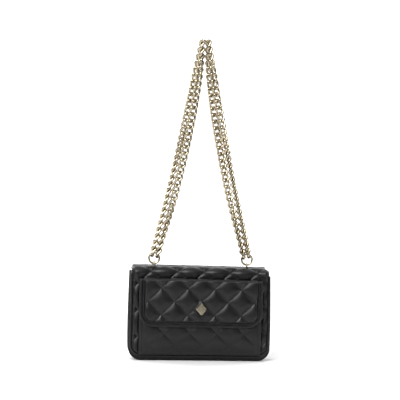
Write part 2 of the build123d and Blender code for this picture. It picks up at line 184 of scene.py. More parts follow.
def grid_faces(rows, cols, start=0, close_rows=False, close_cols=False, flip=False):
    faces = []
    for r in range(rows if close_rows else rows - 1):
        for c in range(cols if close_cols else cols - 1):
            a = start + r * cols + c
            b = start + r * cols + (c + 1) % cols
            d = start + ((r + 1) % rows) * cols + c
            e = start + ((r + 1) % rows) * cols + (c + 1) % cols
            faces.append((a, d, e, b) if flip else (a, b, e, d))
    return faces


def slab(front, back):
    """A closed solid between two grids of the same shape (rows, cols, 3)."""
    rows, cols = front.shape[:2]
    n = rows * cols
    verts = np.concatenate([front.reshape(-1, 3), back.reshape(-1, 3)])
    faces = grid_faces(rows, cols) + grid_faces(rows, cols, start=n, flip=True)
    ring = [c for c in range(cols)]
    ring += [r * cols + cols - 1 for r in range(1, rows)]
    ring += [(rows - 1) * cols + c for c in range(cols - 2, -1, -1)]
    ring += [r * cols for r in range(rows - 2, 0, -1)]
    for a, b in zip(ring, ring[1:] + ring[:1]):
        faces.append((a, a + n, b + n, b))
    return verts, faces


class Wrap:
    """A sheet that runs up a front face, round a bend and back along a top."""

    def __init__(self, front, top, bend, back, outer):
        self.front, self.top, self.bend, self.back = front, top, bend, back
        self.arc = (bend + outer) * math.pi / 2
        self.bend_z = top - bend

    def place(self, x, run, offset):
        """x across, run as a height carried on over the bend, offset outwards."""
        x, run, offset = np.broadcast_arrays(*(np.asarray(v, float) for v in (x, run, offset)))
        over = np.clip((run - self.bend_z) / self.arc, 0, 1) * math.pi / 2
        past = np.maximum(run - self.bend_z - self.arc, 0)
        centre_y = self.front + self.bend
        y = centre_y - (self.bend + offset) * np.cos(over) + past
        z = np.minimum(run, self.bend_z) + (self.bend + offset) * np.sin(over)
        return np.stack([x, y, z], axis=-1)

    def last(self):
        return self.bend_z + self.arc + (self.back - self.front - self.bend)


# ---- materials -----------------------------------------------------------------------------------
def new_material(name):
    mat = bpy.data.materials.new(name)
    mat.use_nodes = True
    tree = mat.node_tree
    shader = tree.nodes["Principled BSDF"]
    coords = tree.nodes.new("ShaderNodeTexCoord")
    return mat, tree, shader, coords


def noise(tree, coords, scale, detail=4.0, rough=0.55):
    node = tree.nodes.new("ShaderNodeTexNoise")
    node.inputs["Scale"].default_value = scale
    node.inputs["Detail"].default_value = detail
    node.inputs["Roughness"].default_value = rough
    tree.links.new(coords.outputs["Object"], node.inputs["Vector"])
    return node


def ramp(tree, source, stops):
    node = tree.nodes.new("ShaderNodeValToRGB")
    first, last = stops
    node.color_ramp.elements[0].position, node.color_ramp.elements[0].color = first
    node.color_ramp.elements[1].position, node.color_ramp.elements[1].color = last
    tree.links.new(source, node.inputs["Fac"])
    return node


def grey(value):
    return (value, value, value, 1)


def put(node, values):
    """Sets a node's inputs by name."""
    for key, value in values.items():
        node.inputs[key].default_value = value


def shade(colour, share):
    """A colour made darker or lighter, as a ramp's stop takes it."""
    return tuple(min(c * share, 1) for c in colour) + (1,)


def tinted(tree, shader, source, colour, dark, light, stops):
    """Lets a noise vary the base colour between two shades."""
    ends = ((stops[0], shade(colour, dark)), (stops[1], shade(colour, light)))
    node = ramp(tree, source.outputs["Fac"], ends)
    tree.links.new(node.outputs["Color"], shader.inputs["Base Color"])


def glossed(tree, shader, source, smoothest, roughest, stops):
    """Lets a noise vary the roughness."""
    ends = ((stops[0], grey(smoothest)), (stops[1], grey(roughest)))
    node = ramp(tree, source.outputs["Fac"], ends)
    tree.links.new(node.outputs["Color"], shader.inputs["Roughness"])


def bump(tree, shader, height, strength, distance, under=None):
    """A bump that gives the shader its normal, laid over another bump if there is one."""
    node = tree.nodes.new("ShaderNodeBump")
    put(node, {"Strength": strength, "Distance": distance})
    tree.links.new(height, node.inputs["Height"])
    if under:
        tree.links.new(under.outputs["Normal"], node.inputs["Normal"])
    tree.links.new(node.outputs["Normal"], shader.inputs["Normal"])
    return node


def leather(name, colour, roughness, grain, grain_size=2600.0):
    """Smooth coated leather: fine pebbles, faint creases, uneven sheen and colour."""
    mat, tree, shader, coords = new_material(name)
    cells = tree.nodes.new("ShaderNodeTexVoronoi")
    cells.feature = "SMOOTH_F1"
    put(cells, {"Scale": grain_size, "Smoothness": 0.6})
    tree.links.new(coords.outputs["Object"], cells.inputs["Vector"])
    pores = noise(tree, coords, scale=grain_size * 0.4)
    creases = noise(tree, coords, scale=140.0, detail=6.0)
    height = tree.nodes.new("ShaderNodeMath")
    height.operation = "MULTIPLY_ADD"
    cell_share = 0.6
    tree.links.new(cells.outputs["Distance"], height.inputs[0])
    height.inputs[1].default_value = cell_share
    tree.links.new(pores.outputs["Fac"], height.inputs[2])
    pebbles = bump(tree, shader, height.outputs[0], strength=grain, distance=0.00012)
    bump(tree, shader, creases.outputs["Fac"], strength=0.225, distance=0.0004, under=pebbles)
    patches = noise(tree, coords, scale=60.0, detail=5.0)
    tinted(tree, shader, patches, colour, dark=0.72, light=1.35, stops=(0.3, 0.75))
    glossed(tree, shader, creases, roughness - 0.06, roughness + 0.1, stops=(0.3, 0.75))
    put(shader, {"Specular IOR Level": 0.3, "Coat Weight": 0.03, "Coat Roughness": 0.25})
    return mat


def woven(name, colour):
    """Plain-woven lining cloth: two crossed waves."""
    mat, tree, shader, coords = new_material(name)
    weave = tree.nodes.new("ShaderNodeMath")
    weave.operation = "MULTIPLY"
    for number, axis in enumerate(("X", "Z")):
        wave = tree.nodes.new("ShaderNodeTexWave")
        wave.bands_direction = axis
        wave.wave_profile = "SIN"
        put(wave, {"Scale": 420.0, "Distortion": 0.8})
        tree.links.new(coords.outputs["Object"], wave.inputs["Vector"])
        tree.links.new(wave.outputs["Fac"], weave.inputs[number])
    bump(tree, shader, weave.outputs[0], strength=0.5, distance=0.0002)
    patches = noise(tree, coords, scale=35.0)
    tinted(tree, shader, patches, colour, dark=0.8, light=1.25, stops=(0.3, 0.8))
    put(shader, {"Roughness": 0.85, "Sheen Weight": 0.3})
    return mat


def metal(name, colour, roughness):
    """Plated metal: a faint orange-peel, uneven gloss and slight tarnish."""
    mat, tree, shader, coords = new_material(name)
    put(shader, {"Metallic": 1.0})
    cloudy = noise(tree, coords, scale=90.0, detail=5.0)
    tinted(tree, shader, cloudy, colour, dark=0.9, light=1.04, stops=(0.25, 0.7))
    fine = noise(tree, coords, scale=500.0, detail=4.0)
    glossed(tree, shader, fine, roughness, roughness + 0.07, stops=(0.3, 0.8))
    bump(tree, shader, fine.outputs["Fac"], strength=0.06, distance=0.00005)
    return mat


quilted_mat = leather("quilted_leather", (0.005, 0.005, 0.0056), roughness=0.38, grain=0.35)
plain_mat = leather("plain_leather", (0.0045, 0.0045, 0.005), roughness=0.44, grain=0.4)
thread_mat = leather("thread", (0.016, 0.016, 0.017), roughness=0.5, grain=0.5, grain_size=5200.0)
lining_mat = woven("lining_cloth", (0.03, 0.027, 0.027))
gold_mat = metal("gold_plate", (0.47, 0.412, 0.305), roughness=0.12)


# ---- stitching -----------------------------------------------------------------------------------
STITCH = 2.7               # length of a stitch
STITCH_GAP = 1.1
STITCH_HALF = 0.32         # half its width
STITCH_RISE = 0.34         # half its height
STITCH_LIFT = 0.3          # how far its middle stands up
# its section, as (across, up), and its run, as (share of the length, size of the section, lift)
STITCH_SECTION = ((-1, -0.6), (-0.75, 0.45), (0, 1), (0.75, 0.45), (1, -0.6))
STITCH_RUN = ((-0.5, 0.25, -0.5), (-0.36, 0.85, 0.2), (0, 1, 0.45), (0.36, 0.85, 0.2), (0.5, 0.25, -0.5))
SEAM_STEP = 0.8            # spacing of the points along a seam
SEAM_LEAST = 6             # a seam with no more points than this isn't sewn


def one_stitch(centre, run, up):
    """The points of one small rounded bar, section after section."""
    run = run / np.linalg.norm(run)
    up = up - run * up.dot(run)
    up = up / np.linalg.norm(up)
    side = np.cross(run, up)
    points = []
    for share, size, lift in STITCH_RUN:
        for across, rise in STITCH_SECTION:
            sideways = side * across * STITCH_HALF * size
            upwards = up * (rise * size * STITCH_RISE + lift * STITCH_LIFT)
            points.append(centre + run * share * STITCH + sideways + upwards)
    return points


def stitch_faces(start):
    """The faces of one stitch whose points start at an index."""
    m = len(STITCH_SECTION)
    last = start + (len(STITCH_RUN) - 1) * m
    faces = []
    for first in range(start, last, m):
        for c in range(m):
            a, b = first + c, first + (c + 1) % m
            faces.append((a, b, b + m, a + m))
    faces.append(tuple(start + c for c in reversed(range(m))))
    faces.append(tuple(last + c for c in range(m)))
    return faces


def at_length(lengths, source, where):
    return np.array([np.interp(where, lengths, source[:, i]) for i in range(3)])


def stitch_rows(name, rows, body):
    """Sewn thread: rows are (points, normals) in purse millimetres."""
    verts, faces = [], []
    pitch = STITCH + STITCH_GAP
    for points, normals in rows:
        points = np.asarray(points, float)
        normals = np.asarray(normals, float)
        lengths = np.concatenate([[0], np.cumsum(np.linalg.norm(np.diff(points, axis=0), axis=1))])
        count = int(lengths[-1] / pitch)
        spare = (lengths[-1] - count * pitch) / 2
        for k in range(count):
            mid = spare + (k + 0.5) * pitch
            run = at_length(lengths, points, mid + 1) - at_length(lengths, points, mid - 1)
            faces += stitch_faces(len(verts))
            verts += one_stitch(at_length(lengths, points, mid), run, at_length(lengths, normals, mid))
    return add_mesh(name, to_frame(verts), faces, thread_mat, body)


def along_surface(surface, xs, runs, lift=0.0):
    """Points and normals of a height-field surface along a line of its own coordinates."""
    xs, runs = np.asarray(xs, float), np.asarray(runs, float)
    step = 0.4
    p = surface(xs, runs)
    du = surface(xs + step, runs) - surface(xs - step, runs)
    dv = surface(xs, runs + step) - surface(xs, runs - step)
    n = np.cross(du, dv)
    n /= np.linalg.norm(n, axis=1)[:, None]
    return p + n * lift, n


def seam_rows(surface, shift, inside, low_run, high_run, half):
    """The quilt's diagonal seams as rows on a surface, broken where they leave it."""
    rows = []
    reach = int((half + high_run) / QUILT) + 2
    runs = np.linspace(low_run, high_run, int((high_run - low_run) / SEAM_STEP))
    for sign in (1, -1):
        for k in range(-reach, reach + 1):
            xs = shift[0] + k * QUILT - sign * (runs - shift[1])
            keep = inside(xs, runs)
            piece = []
            for x, r, ok in zip(xs, runs, keep):
                if ok:
                    piece.append((x, r))
                if (not ok or r == runs[-1]) and piece:
                    if len(piece) > SEAM_LEAST:
                        px, pr = zip(*piece)
                        rows.append(along_surface(surface, px, pr))
                    piece = []
    return rows


# ---- cover: quilted skin over the top and down the front -----------------------------------------
COVER_GAP = 0.5            # between the body's front and the cover's inner side
cover = Wrap(BODY_FRONT - COVER_GAP, COVER_TOP - COVER_THICK, COVER_BEND, COVER_BACK, COVER_THICK)
COVER_LAST = cover.last()
COVER_SHIFT = (6.0, 15.0)   # a crossing of the cover's seams, as (x, run)
COVER_PILLOW = 2.6         # how steeply its diamonds rise from their seams
POCKET_SEAM = FLAP_TOP + 0.9
POST_FOOT = 3.2            # what a post's node reaches beyond its axis
POST_X = (high("strap_posts", 0) - low("strap_posts", 0)) / 2 - POST_FOOT
POST_RUN = COVER_LAST - (COVER_BACK - (low("strap_posts", 1) + high("strap_posts", 1)) / 2 + DEPTH)
FRAME_CORNER = 6.0
FRAME_PLAY = 0.6           # the frame's seam runs this far beside the pocket
# heights of the skin's face over the cover's inner side
SKIN_EDGE = 3.4            # at its outline, under the binding
SKIN_FLAT = 4.6            # along the quilt's seams
SKIN_PUFF = 3.4            # what the middle of a diamond adds
SKIN_FRAME = 5.9           # on the seam round the pocket
SKIN_HIDDEN = 4.4          # behind the pocket, where the quilting is pressed half flat
SKIN_POST = COVER_THICK - 0.1
SKIN_REAR = COVER_THICK - 1.0
SEAM_SPREAD = 0.9          # half width of the dip that the frame's seam makes
POST_FLAT = 3.4            # the skin is pressed flat within this radius of a post
POST_EASE = 5.0
REAR_FLAT = 10.0           # the last stretch before the fold, which is flat
REAR_EASE = 3.0
EDGE_ROUND = 4.2           # width over which the skin rises from its outline
FLAP_ROOM_FROM = 126.0     # from here up the skin may rise again without meeting the opened flap
FLAP_ROOM_CURVE = 18.0
BEYOND = 20.0              # an outline that runs on this far has no edge at its top
GRID = 0.85


def frame_inset(x, run):
    """Distance from the seam round the opening that the pocket and its flap fill, rounded at the top."""
    side = POCKET_HALF + FRAME_PLAY - np.abs(x)
    above = POCKET_SEAM - run
    rounded = FRAME_CORNER - np.hypot(FRAME_CORNER - side, FRAME_CORNER - above)
    in_corner = (side < FRAME_CORNER) & (above < FRAME_CORNER)
    return np.where(in_corner, rounded, np.minimum(side, above))


def cover_offset(x, run):
    """Height of the skin's face over the cover's inner side."""
    puff = quilt(x, run, COVER_SHIFT, COVER_PILLOW)
    half, foot = COVER_HALF - BINDING, COVER_FOOT + BINDING
    edge = inset_of(x, run, half, foot, COVER_LAST + BEYOND, COVER_CORNER - BINDING)
    rise = SKIN_FLAT + SKIN_PUFF * puff
    seam = np.abs(frame_inset(x, run))
    rise = rise - (rise - SKIN_FRAME) * np.exp(-(seam / SEAM_SPREAD) ** 2)
    for side in (-1, 1):
        near = np.hypot(x - side * POST_X, run - POST_RUN)
        press = smooth((near - POST_FLAT) / POST_EASE)
        rise = SKIN_POST + (rise - SKIN_POST) * press
    rise = rise + (SKIN_REAR - rise) * smooth((run - COVER_LAST + REAR_FLAT) / REAR_EASE)
    room = SKIN_POST + np.maximum(run - FLAP_ROOM_FROM, 0) ** 2 / FLAP_ROOM_CURVE
    rise = np.where(np.abs(x) < FLAP_HALF + 1, np.minimum(rise, room), rise)
    hidden = (np.abs(x) < POCKET_HALF - 2) & (run < POCKET_TOP)
    rise = np.where(hidden, SKIN_HIDDEN + (rise - SKIN_HIDDEN) * 0.5, rise)
    return SKIN_EDGE + (rise - SKIN_EDGE) * bulge(edge / EDGE_ROUND, 2.0)


def cover_surface(x, run):
    return cover.place(x, run, cover_offset(np.asarray(x, float), np.asarray(run, float)))


def outline_grid(half, foot, last, corner, step):
    """A grid that fills an outline with rounded lower corners, as (x, run)."""
    runs = heights(foot, last, corner, step)
    cols = int(2 * half / step) + 1
    u = np.linspace(-1, 1, cols)
    widths = half_at(runs, half, foot, corner)
    x = u[None, :] * widths[:, None]
    run = np.repeat(runs[:, None], cols, axis=1)
    return x, run


def on_frame(x, run):
    """Where the cover's quilting shows: beside and above the pocket, and over the top."""
    edge = inset_of(x, run, COVER_HALF, COVER_FOOT, COVER_LAST, COVER_CORNER)
    clear = (np.abs(x) > FLAP_HALF + 1.5) | (run > POCKET_SEAM + 1.5)
    return (edge > EDGE_ROUND) & clear


def build_cover_skin():
    """The quilted leather; over the top, past the binding's end, it reaches a little further out."""
    tuck = 0.3
    coarser = 1.12
    further_out = 0.009
    half, foot = COVER_HALF - BINDING + tuck, COVER_FOOT + BINDING - tuck
    x, run = outline_grid(half, foot, COVER_LAST, COVER_CORNER - BINDING, GRID * coarser)
    x = x * (1 + further_out * smooth((run - BINDING_END + 1) / 2))
    verts, faces = slab(cover_surface(x, run), cover.place(x, run, SKIN_BACK))
    skin = add_mesh("cover_quilt", to_frame(verts), faces, quilted_mat, "cover")
    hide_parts("cover_skin", "cover_board", "cover_magnet")
    rows = seam_rows(cover_surface, COVER_SHIFT, on_frame, COVER_FOOT, COVER_LAST - 1, COVER_HALF)
    stitch_rows("cover_quilt_stitches", rows, "cover")


def build_cover_lining():
    """Cloth on the cover's inner side, a little wavy."""
    half, foot = COVER_HALF - BINDING, COVER_FOOT + BINDING
    x, run = outline_grid(half, foot, COVER_LAST, COVER_CORNER - BINDING, 4.0)
    wave = 0.15 * np.sin(x / 17.0) * np.sin(run / 13.0)
    under_skin = SKIN_BACK + 0.1
    verts, faces = slab(cover.place(x, run, under_skin), cover.place(x, run, 0.9 + wave))
    cloth = add_mesh("cover_lining_cloth", to_frame(verts), faces, lining_mat, "cover")
    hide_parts("cover_lining")


def outline_path(half, foot, last, corner, step=1.6):
    """The outline from the left top end, down, round and up, as (x, run, inward x, inward run)."""
    pts = []
    for z in np.arange(last, foot + corner, -step):
        pts.append((-half, z, 1, 0))
    for a in np.linspace(0, math.pi / 2, 16):
        x, z = -half + corner - corner * math.cos(a), foot + corner - corner * math.sin(a)
        pts.append((x, z, math.cos(a), math.sin(a)))
    for x in np.arange(-half + corner + step, half - corner, step):
        pts.append((x, foot, 0, 1))
    for a in np.linspace(math.pi / 2, 0, 16):
        x, z = half - corner + corner * math.cos(a), foot + corner - corner * math.sin(a)
        pts.append((x, z, -math.cos(a), math.sin(a)))
    for z in np.arange(foot + corner + step, last, step):
        pts.append((half, z, -1, 0))
    pts.append((half, last, -1, 0))
    return np.array(pts)


def inwards(path, inset):
    """The x and run of an outline path moved inwards."""
    return path[:, 0] + path[:, 2] * inset, path[:, 1] + path[:, 3] * inset


def closed_sweep(grid, flip):
    """Points and faces of a closed section carried along a path, with both ends shut."""
    rows_n, cols_n = grid.shape[:2]
    faces = grid_faces(rows_n, cols_n, close_cols=True, flip=flip)
    first = range(cols_n)
    last = [(rows_n - 1) * cols_n + c for c in range(cols_n)]
    faces.append(tuple(first if flip else reversed(first)))
    faces.append(tuple(reversed(last) if flip else last))
    return grid.reshape(-1, 3), faces


def build_cover_binding():
    """The strip folded round the cover's edge, its section given as (inset, height), and its stitches."""
    path = outline_path(COVER_HALF, COVER_FOOT, BINDING_END, COVER_CORNER)
    outside = [(3.5, 3.4), (3.35, 4.3), (2.9, 4.75), (1.9, 4.9), (0.9, 4.7), (0.25, 4.0), (0.0, 3.0)]
    inside = [(0.0, 1.6), (0.25, 0.7), (0.9, 0.25), (2.4, 0.15), (3.2, 0.4), (3.3, 1.2)]
    rings = [cover.place(*inwards(path, inset), offset) for inset, offset in outside + inside]
    verts, faces = closed_sweep(np.stack(rings, axis=1), flip=True)
    strip = add_mesh("cover_binding_strip", to_frame(verts), faces, plain_mat, "cover")
    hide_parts("cover_binding")
    stitch_inset = 2.0
    strip_top = max(offset for inset, offset in outside)
    line = cover.place(*inwards(path, stitch_inset), strip_top)
    out = cover.place(*inwards(path, 0.0), 10.0) - cover.place(*inwards(path, 0.0), 9.0)
    stitch_rows("cover_binding_stitches", [(line, out)], "cover")


build_cover_skin()
build_cover_lining()
build_cover_binding()


# ---- outside pocket ------------------------------------------------------------------------------
POCKET_SHIFT = (24.0, 1.9)
POCKET_PILLOW = 2.9
POCKET_STRIP = 4.6         # flat leather between the quilting and the pocket's sides
POCKET_BELLY = 42.0        # below this height the front runs back to the cover
POCKET_PUFF = 1.5
POCKET_REST = 0.6          # the seams lie this far behind the front's outermost point
FOOT_BACK = 6.6            # how far the foot runs back to the cover
RIM_ROUND = 1.4            # width over which the pocket's edges are rounded
FLAP_HIDES = 25.0          # no seams are sewn further up than this under the flap
SEWN_LIFT = 0.05           # the straight rows of stitches lie this high on their leather


def pocket_y(z):
    """Depth of the pocket's front: straight, then running back to the cover near its foot."""
    back = np.clip((POCKET_BELLY - z) / (POCKET_BELLY - POCKET_FOOT), 0, 1)
    return POCKET_FACE + POCKET_REST + FOOT_BACK * back ** 2.2


def pocket_surface(x, z):
    x, z = np.asarray(x, float), np.asarray(z, float)
    side = POCKET_HALF - np.abs(x)
    inner = side - POCKET_STRIP
    over_foot = z - POCKET_FOOT
    puff = quilt(x, z, POCKET_SHIFT, POCKET_PILLOW) * bulge(inner / 5, 2) * bulge((over_foot - 1.5) / 5, 2)
    groove = 0.9 * np.exp(-(inner / 0.7) ** 2) + 0.5 * np.exp(-((over_foot - 2.5) / 0.8) ** 2)
    rim = 1.1 * (1 - bulge(side / RIM_ROUND, 2.0))
    rim += 0.9 * (1 - bulge((POCKET_TOP - z) / RIM_ROUND, 2.0))
    y = pocket_y(z) - POCKET_PUFF * puff + groove + rim
    return np.stack([x, y, z], axis=-1)


def on_pocket(x, z):
    """Where the pocket's quilting shows, up to what the flap hides."""
    inside = np.abs(x) < POCKET_HALF - POCKET_STRIP - 1
    return inside & (z > POCKET_FOOT + 3.5) & (z < FLAP_FOOT + FLAP_HIDES)


def build_pocket_front():
    zs = np.arange(POCKET_FOOT, POCKET_TOP + 0.01, GRID)
    xs = np.linspace(-POCKET_HALF, POCKET_HALF, int(2 * POCKET_HALF / GRID) + 1)
    x, z = np.meshgrid(xs, zs)
    back = np.stack([x, np.minimum(pocket_y(z) + 2.6, COVER_FACE + 1.6), z], axis=-1)
    verts, faces = slab(pocket_surface(x, z), back)
    front = add_mesh("pocket_quilt", to_frame(verts), faces, quilted_mat, "cover")
    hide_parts("pocket_panel")


def build_pocket_stitches():
    """The diagonal seams, a row down each side and one under the rim."""
    rows = seam_rows(pocket_surface, POCKET_SHIFT, on_pocket, POCKET_FOOT, POCKET_TOP - 2, POCKET_HALF)
    zs = np.arange(POCKET_FOOT + 1, POCKET_TOP - 2, 2.0)
    for side in (-1, 1):
        across = np.full(len(zs), side * (POCKET_HALF - 2.2))
        rows.append(along_surface(pocket_surface, across, zs, SEWN_LIFT))
    xs = np.arange(-POCKET_HALF + 5, POCKET_HALF - 5, 2.0)
    rows.append(along_surface(pocket_surface, xs, np.full(len(xs), POCKET_TOP - 3.0), SEWN_LIFT))
    stitch_rows("pocket_stitches", rows, "cover")


def build_pocket_sides():
    """The two folded side strips, pulled in along their middle."""
    verts, faces = [], []
    zs = np.arange(POCKET_FOOT + 1, POCKET_TOP - 0.4, 2.0)
    front = pocket_y(zs) + 1.0
    for side in (-1, 1):
        ring = []
        for share, pull in ((0, 0.1), (0.18, 0.4), (0.5, 1.0), (0.82, 0.4), (1, 0.0)):
            y = front + share * (COVER_FACE + 2.4 - front)
            ring.append(np.stack([np.full(len(zs), side * (POCKET_HALF - pull)), y, zs], axis=-1))
        outer = np.stack(ring, axis=1)
        inner = outer - np.array([side * 1.2, 0, 0])
        v, f = slab(outer, inner)
        faces += [tuple(i + len(verts) for i in face) for face in f]
        verts += list(v)
    strips = add_mesh("pocket_side_strips", to_frame(verts), faces, plain_mat, "cover")
    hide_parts("pocket_gusset")


def build_pocket_lining():
    half = POCKET_HALF - 4.2
    xs = np.linspace(-half, half, 60)
    zs = np.linspace(POCKET_FOOT + 4, POCKET_TOP - 0.8, 50)
    x, z = np.meshgrid(xs, zs)
    wave = 0.2 * np.sin(x / 11) * np.sin(z / 9)
    y = np.minimum(pocket_y(z) + 3.3 + wave, COVER_FACE - 0.2)
    verts, faces = slab(np.stack([x, y - 0.7, z], axis=-1), np.stack([x, y, z], axis=-1))
    cloth = add_mesh("pocket_lining_cloth", to_frame(verts), faces, lining_mat, "cover")
    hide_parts("pocket_lining")


build_pocket_front()
build_pocket_stitches()
build_pocket_sides()
build_pocket_lining()


# ---- pocket flap ---------------------------------------------------------------------------------
FLAP_RADIUS = 1.2
flap = Wrap(front=FLAP_FACE + FLAP_THICK, top=FLAP_TOP - 1.6, bend=FLAP_RADIUS, back=FLAP_SEAM, outer=3.0)
FLAP_LAST = flap.last()
BORDER = 4.3               # the flat stitched border's width
BORDER_STITCHES = 2.3      # from the flap's edge
FLAP_SHIFT = (0.0, 9.0)
FLAP_PILLOW = 2.9
SHELF_CLEAR = 1.35         # the leather over the pocket's mouth, thin enough to stand up against the cover
PAD_EDGE = 7.0             # where the raised pad starts, from the flap's edge
PAD_RISE = FLAP_FACE - PAD_FACE
PAD_LOW, PAD_PUFF = 0.48, 0.62         # shares of that rise on the pad's seams, and added by its diamonds
PAD_PRESSED = PAD_RISE - 0.15          # under the emblem
VALLEY = 0.9               # depth of the valley between border and pad
FLAP_BEND = FLAP_TOP - 0.9
EMBLEM_HALF_W = (high("emblem", 0) - low("emblem", 0)) / 2
EMBLEM_HALF_H = (high("emblem", 2) - low("emblem", 2)) / 2
EMBLEM_Z = (high("emblem", 2) + low("emblem", 2)) / 2 - BASE


def flap_offset(x, run):
    """Height of the flap's face: a border, a valley inside it, and the quilted pad, flat under the emblem."""
    edge = inset_of(x, run, FLAP_HALF, FLAP_FOOT, FLAP_LAST + 40, FLAP_CORNER)
    border = FLAP_THICK * (0.35 + 0.65 * bulge(edge / 1.3, 2.2))
    border += 0.25 * np.exp(-((edge - 2.2) / 1.6) ** 2)
    border = np.where(run > FLAP_BEND - 1, np.minimum(border, SHELF_CLEAR), border)
    valley = VALLEY * smooth((edge - BORDER + 0.9) / 1.2)
    top = bulge((FLAP_BEND - run) / 2.6, 2.4)
    inner = bulge((edge - PAD_EDGE) / 3.8, 2.8)
    puff = quilt(x, run, FLAP_SHIFT, FLAP_PILLOW)
    pad = PAD_RISE * (PAD_LOW + PAD_PUFF * puff) * inner * top
    plate = np.abs(x) / EMBLEM_HALF_W + np.abs(run - EMBLEM_Z) / EMBLEM_HALF_H
    press = smooth((plate - 1.1) / 0.8)
    pad = PAD_PRESSED * (1 - press) + pad * press
    return border - valley * np.clip(1 - inner, 0, 1) + pad * np.where(edge > PAD_EDGE, 1, 0)


def flap_surface(x, run):
    x, run = np.asarray(x, float), np.asarray(run, float)
    return flap.place(x, run, flap_offset(x, run))


def on_flap(x, run):
    """Where the flap's seams are sewn: on the pad, clear of the emblem."""
    edge = inset_of(x, run, FLAP_HALF, FLAP_FOOT, FLAP_LAST, FLAP_CORNER)
    near_emblem = (np.abs(x) < EMBLEM_HALF_W + 2) & (np.abs(run - EMBLEM_Z) < EMBLEM_HALF_H + 1)
    return (edge > PAD_EDGE + 2.2) & (run < FLAP_BEND - 1) & ~near_emblem


def build_flap():
    x, run = outline_grid(FLAP_HALF, FLAP_FOOT, FLAP_LAST, FLAP_CORNER, GRID * 0.8)
    verts, faces = slab(flap_surface(x, run), flap.place(x, run, 0.0))
    leaf = add_mesh("flap_quilt", to_frame(verts), faces, quilted_mat, "pocket_flap")
    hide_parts("flap_base", "flap_pad")
    rows = seam_rows(flap_surface, FLAP_SHIFT, on_flap, FLAP_FOOT, FLAP_BEND, FLAP_HALF)
    path = outline_path(FLAP_HALF, FLAP_FOOT, FLAP_BEND, FLAP_CORNER)
    rows.append(along_surface(flap_surface, *inwards(path, BORDER_STITCHES), SEWN_LIFT))
    stitch_rows("flap_stitches", rows, "pocket_flap")


def build_flap_lining():
    margin = 1.4
    half, foot = FLAP_HALF - margin, FLAP_FOOT + margin
    x, z = outline_grid(half, foot, FLAP_TOP - 2.4, FLAP_CORNER - margin, 3.0)
    back_y = FLAP_FACE + FLAP_THICK
    front = np.stack([x, np.full(x.shape, back_y - 0.05), z], axis=-1)
    rear = np.stack([x, np.full(x.shape, back_y + 0.72), z], axis=-1)
    verts, faces = slab(front, rear)
    cloth = add_mesh("flap_lining_cloth", to_frame(verts), faces, lining_mat, "pocket_flap")
    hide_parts("flap_lining")


build_flap()
build_flap_lining()


# ---- purse body ----------------------------------------------------------------------------------
REAR_SHIFT = (0.0, 4.3)
REAR_PILLOW = 2.4
REAR_PUFF = 2.0
REAR_PLAIN = 15.0          # height at the rear's top that the cover's fold leaves unquilted
BODY_SWELL = 1.3
REAR_SINK = 1.5            # the rear's seams lie this far inside its outermost point
LINING_EASE = 3.2          # the lining tub's distance from the body's outline


def side_bulge(x, z):
    """How far the filled body swells sideways, most a third of the way up."""
    lift = np.clip(z / BODY_TOP, 0, 1)
    return np.sign(x) * BODY_SWELL * np.sin(math.pi * lift ** 0.7) * smooth(np.abs(x) / BODY_HALF)


def swelled(verts):
    """Adds the sideways swelling to points in purse millimetres."""
    verts[..., 0] += side_bulge(verts[..., 0], verts[..., 2])
    return verts


def rear_surface(x, z):
    x, z = np.asarray(x, float), np.asarray(z, float)
    edge = inset_of(x, z, BODY_HALF, 0.0, BODY_TOP + 30, BODY_CORNER)
    puff = quilt(x, z, REAR_SHIFT, REAR_PILLOW)
    top = bulge((BODY_TOP - REAR_PLAIN - z) / 4, 2)
    y = BODY_REAR - REAR_SINK + REAR_PUFF * puff * bulge((edge - 2.5) / 5, 2) * top
    return np.stack([-x, y, z], axis=-1)


def on_rear(x, z):
    return (inset_of(x, z, BODY_HALF, 0.0, BODY_TOP, BODY_CORNER) > 5) & (z < BODY_TOP - REAR_PLAIN - 2)


def build_rear():
    x, z = outline_grid(BODY_HALF, 0.0, BODY_TOP, BODY_CORNER, GRID)
    inner = np.stack([-x, np.full(x.shape, BODY_REAR - 2.6), z], axis=-1)
    verts, faces = slab(rear_surface(x, z), inner)
    panel = add_mesh("rear_quilt", to_frame(swelled(verts)), faces, quilted_mat, "purse_body")
    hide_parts("rear_panel")
    rows = seam_rows(rear_surface, REAR_SHIFT, on_rear, 0.0, BODY_TOP, BODY_HALF)
    stitch_rows("rear_stitches", rows, "purse_body")


def build_front():
    """The plain front panel, a little uneven, with a stitched rim."""
    x, z = outline_grid(BODY_HALF, 0.0, FRONT_TOP, BODY_CORNER, 3.0)
    wave = 0.175 * np.sin(x / 23) * np.sin(z / 19)
    rim = 0.8 * (1 - bulge((FRONT_TOP - z) / 1.6, 2))
    front = np.stack([x, BODY_FRONT + 0.35 + wave + rim, z], axis=-1)
    inner = np.stack([x, BODY_FRONT + 2.5 - rim, z], axis=-1)
    verts, faces = slab(front, inner)
    panel = add_mesh("front_leather", to_frame(swelled(verts)), faces, plain_mat, "purse_body")
    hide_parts("front_panel", "body_magnet")
    xs = np.arange(-BODY_HALF + 3, BODY_HALF - 3, 1.5)
    stitch_rows("front_rim_stitches", [level_row(xs, BODY_FRONT + 0.3, FRONT_TOP - 3.2, (0, -1, 0))],
                "purse_body")


def level_row(xs, y, z, out):
    """A level row of stitches from side to side, as (points, normals)."""
    line = np.stack([xs, np.full(len(xs), y), np.full(len(xs), z)], axis=-1)
    return line, np.tile(np.array(out, float), (len(xs), 1))


